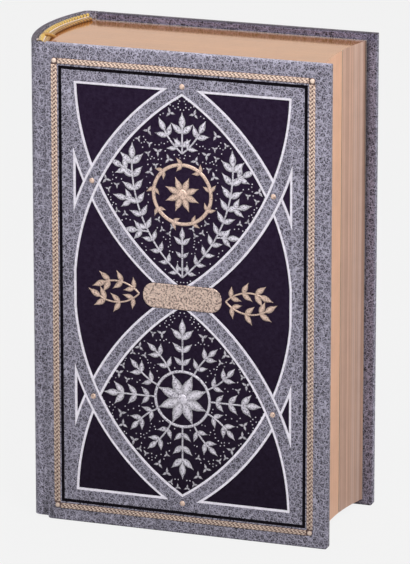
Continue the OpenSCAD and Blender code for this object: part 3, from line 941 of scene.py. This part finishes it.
def braid():
    """Four strands plaited together in each run, with a round stop at each corner."""
    strands, channel = Shape(), Shape()
    w, h = BRAID_W / 2, BRAID_H / 2
    for start, ahead, length, (repeat, half) in (
        (complex(-w, h), 1 + 0j, BRAID_W, LEVEL_RUN),
        (complex(-w, -h), 1 + 0j, BRAID_W, LEVEL_RUN),
        (complex(-w, -h), 1j, BRAID_H, UPRIGHT_RUN),
        (complex(w, -h), 1j, BRAID_H, UPRIGHT_RUN),
    ):
        free = length - 2 * BRAID_START
        period = free / round(free / repeat)
        for k in range(STRANDS):
            phase = 2 * math.pi * k / STRANDS
            strand(strands, start + ahead * BRAID_START, ahead, free, period, phase, half)
        near, far = start + ahead * CHANNEL_START, start + ahead * (length - CHANNEL_START)
        side = ahead * 1j * BRAID_B / 2
        corners = (near - side, far - side, far + side, near + side)
        channel.add([on_front(corner, -FLOOR_D + CHANNEL_LIFT) for corner in corners], [(0, 1, 2, 3)])
    for u in (-w, w):
        for v in (-h, h):
            dome(strands, Place().move(u, v), STOP_R, STOP_TOP)
    piece = mesh_piece("braid_strands", strands, "braid", "front_cover")
    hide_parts("front_braid")
    # The channel under the strands is a dark band for the strands beneath, darkened as painted shade
    under = mesh_piece("braid_channel", channel, "braid_floor_shade", "front_cover", smooth=False)
    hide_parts("front_braid")


# The width of the silver lines' rounding, and the distance within which their points count as one
LINE_ROUND = 0.28 * MM
SAME = 2e-6


def silver_lines():
    """The silver lines with their outer edges rounded."""
    mesh = nodes["front_silver_lines"].data.copy()
    bm = bmesh.new()
    bm.from_mesh(mesh)
    bmesh.ops.remove_doubles(bm, verts=bm.verts, dist=SAME)
    bmesh.ops.dissolve_limit(bm, angle_limit=0.01, verts=bm.verts, edges=bm.edges)
    face_y = min(vert.co.y for vert in bm.verts)

    def outer(edge):
        on_face = all(abs(vert.co.y - face_y) < SAME for vert in edge.verts)
        return on_face and len(edge.link_faces) == 2 and any(abs(face.normal.y) < 0.5 for face in edge.link_faces)

    edges = [edge for edge in bm.edges if outer(edge)]
    bmesh.ops.bevel(
        bm, geom=edges, offset=LINE_ROUND, segments=2, profile=0.6, affect="EDGES", clamp_overlap=True
    )
    bmesh.ops.triangulate(bm, faces=bm.faces)
    bm.to_mesh(mesh)
    bm.free()
    piece = bpy.data.objects.new("silver_lines", mesh)
    bpy.context.scene.collection.objects.link(piece)
    give(piece, "silver")
    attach(piece, "front_cover")
    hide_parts("front_silver_lines")


silver_ornament()
gold_ornament()
cartouche()
dots()
braid()
silver_lines()


# End bands, which follow an arc on the pages' end. Their middle, radius and half angle:
BAND_X, BAND_R, BAND_REACH = 0.0114, 0.0765, math.asin(27.5 / 76.5)
# The upper thread and the lower row: how far each runs inside the arc, its height over the pages, and the radius of
# its core and of its wraps. The pale line between them has one radius.
TOP_IN, TOP_UP, TOP_CORE, TOP_WRAP = 0.0002, 0.00155, 0.00104, 0.00128
LOW_IN, LOW_UP, LOW_CORE, LOW_WRAP = 0.0022, 0.00078, 0.00108, 0.00125
LINE_IN, LINE_UP, LINE_RAD = 0.0014, 0.00136, 0.00036
# The wraps lean over by this much. Each starts and ends at these shares of its own stretch of the band.
WRAPS, WRAP_LEAN = 27, 0.0009
WRAP_START, TOP_END, LOW_END = 0.12, 0.78, 0.8


def bead(shape, r, z, rad, part, squeeze, rings, swell=0.0, lean=0.0, sides=10):
    """A stretch of thread on the band's arc. Part gives its ends as shares of the band's length.

    Squeeze is its height over its breadth, and swell is the share by which it is thicker at its middle.
    """
    verts = []
    for k in range(rings):
        s = k / (rings - 1)
        angle = BAND_REACH * (2 * (part[0] + (part[1] - part[0]) * s) - 1)
        thick = rad * (1 - swell + swell * math.sin(math.pi * s))
        for j in range(sides):
            b = 2 * math.pi * j / sides
            out = r + thick * math.cos(b)
            a = angle + lean / r * math.sin(b)
            verts.append((BAND_X - out * math.cos(a), out * math.sin(a), z + squeeze * thick * math.sin(b)))
    quads = [(a, d, c, b) for a, b, c, d in ring_quads(rings, sides)]
    start, end = tuple(range(sides)), tuple(range((rings - 1) * sides, rings * sides))
    shape.add(verts, quads + [start, end[::-1]])


def curl(shape, at, degrees, length, rad, drop):
    """The end of a thread, drawn out over the pages."""
    rings, sides = 9, 8
    ahead = Vector((math.cos(math.radians(degrees)), math.sin(math.radians(degrees)), 0))
    side = Vector((-ahead.y, ahead.x, 0))
    verts = []
    for k in range(rings):
        s = k / (rings - 1)
        thick = rad * math.sin(math.pi * (0.1 + 0.86 * s)) ** 0.6
        middle = Vector(at) + ahead * (length * s) - Vector((0, 0, drop * s * s))
        for j in range(sides):
            b = 2 * math.pi * j / sides
            verts.append(tuple(middle + side * thick * math.cos(b) + Vector((0, 0, 0.7 * thick * math.sin(b)))))
    shape.add(verts, tube_faces(rings, sides))


def end_band(name, end_z, out):
    """Gold silk wraps over a bead, a pale thread line and a lower row of stitches, on one end of the pages."""
    top_r, top_z = BAND_R - TOP_IN, end_z + out * TOP_UP
    low_r, low_z = BAND_R - LOW_IN, end_z + out * LOW_UP
    line_r, line_z = BAND_R - LINE_IN, end_z + out * LINE_UP
    gold, olive, core, row = Shape(), Shape(), Shape(), Shape()
    for i in range(WRAPS):
        upper, lower = (((i + WRAP_START) / WRAPS, (i + end) / WRAPS) for end in (TOP_END, LOW_END))
        bead(gold, top_r, top_z, TOP_WRAP, upper, squeeze=0.92, rings=6, swell=0.12, lean=WRAP_LEAN)
        bead(row, low_r, low_z, LOW_WRAP, lower, squeeze=0.66, rings=6, swell=0.12, lean=-WRAP_LEAN)
    bead(olive, top_r, top_z, TOP_CORE, (0, 1), squeeze=0.92, rings=60)
    bead(olive, low_r, low_z, LOW_CORE, (0, 1), squeeze=0.62, rings=60)
    bead(core, line_r, line_z, LINE_RAD, (0.01, 0.99), squeeze=1.0, rings=60, sides=6)
    if out > 0:
        start = (-0.0636, -0.0158, end_z + 0.0024)
        curl(row, start, degrees=40, length=0.0062, rad=0.0013, drop=0.0014)
        start = (-0.0645, -0.0222, end_z + 0.0014)
        curl(core, start, degrees=30, length=0.0040, rad=0.0007, drop=0.0002)
    for tag, shape, mat in (
        ("gold", gold, "thread"),
        ("olive", olive, "thread_dark"),
        ("core", core, "thread_pale"),
        ("row", row, "thread_row"),
    ):
        piece = mesh_piece(f"{name}_{tag}", shape, mat, "book_block")


page_low, page_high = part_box("page_block")
end_band("head_wraps", page_high.z, 1)
end_band("tail_wraps", page_low.z, -1)


# Joints. The number of rows along each strip
JOINT_ROWS = 24
# Each strip's thickness, its lower and upper end, and the range of X over which it bends
LEATHER_T, LEATHER_ENDS, LEATHER_BEND = 0.12, (1.3, 206.9), (-57.6, -55.4)
PAPER_T, PAPER_ENDS, PAPER_BEND = 0.12, (3.2, 203.8), (-56.9, -55.6)
# Each strip's outer face, seen along the joint as (X, distance from the middle of the book)
LEATHER_LINE = (
    (-59.0, 31.80), (-58.2, 31.90), (-57.4, 31.96), (-56.8, 32.02), (-56.2, 32.16),
    (-55.7, 32.38), (-55.2, 32.51), (-54.6, 32.53), (-53.8, 32.49),
)
PAPER_LINE = [(-57.0 + 0.15 * i, 28.95) for i in range(11)]


def joint_skin(name, side, line, thick, ends, mat):
    """A strip that crosses a joint, between two heights and over a range of X."""
    profile = list(line) + [(x, y - thick) for x, y in reversed(line)]
    low, high = ends
    verts = []
    for i in range(JOINT_ROWS + 1):
        z = low + (high - low) * i / JOINT_ROWS
        verts += [(x * MM, side * y * MM, z * MM) for x, y in profile]
    faces = tube_faces(JOINT_ROWS + 1, len(profile))
    if side > 0:
        faces = [face[::-1] for face in faces]
    shape = Shape()
    shape.add(verts, faces)
    piece = mesh_object(name, shape, mat, JOINT_ROWS * len(profile))
    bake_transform(piece)


for side, cover, leather in ((-1, "front_cover", "leather_front"), (1, "back_cover", "leather")):
    joint_skin(
        cover + "_joint_leather", side, LEATHER_LINE, LEATHER_T, LEATHER_ENDS,
        leather,
    )
    joint_skin(
        cover + "_joint_paper", side, PAPER_LINE, PAPER_T, PAPER_ENDS,
        "paper",
    )
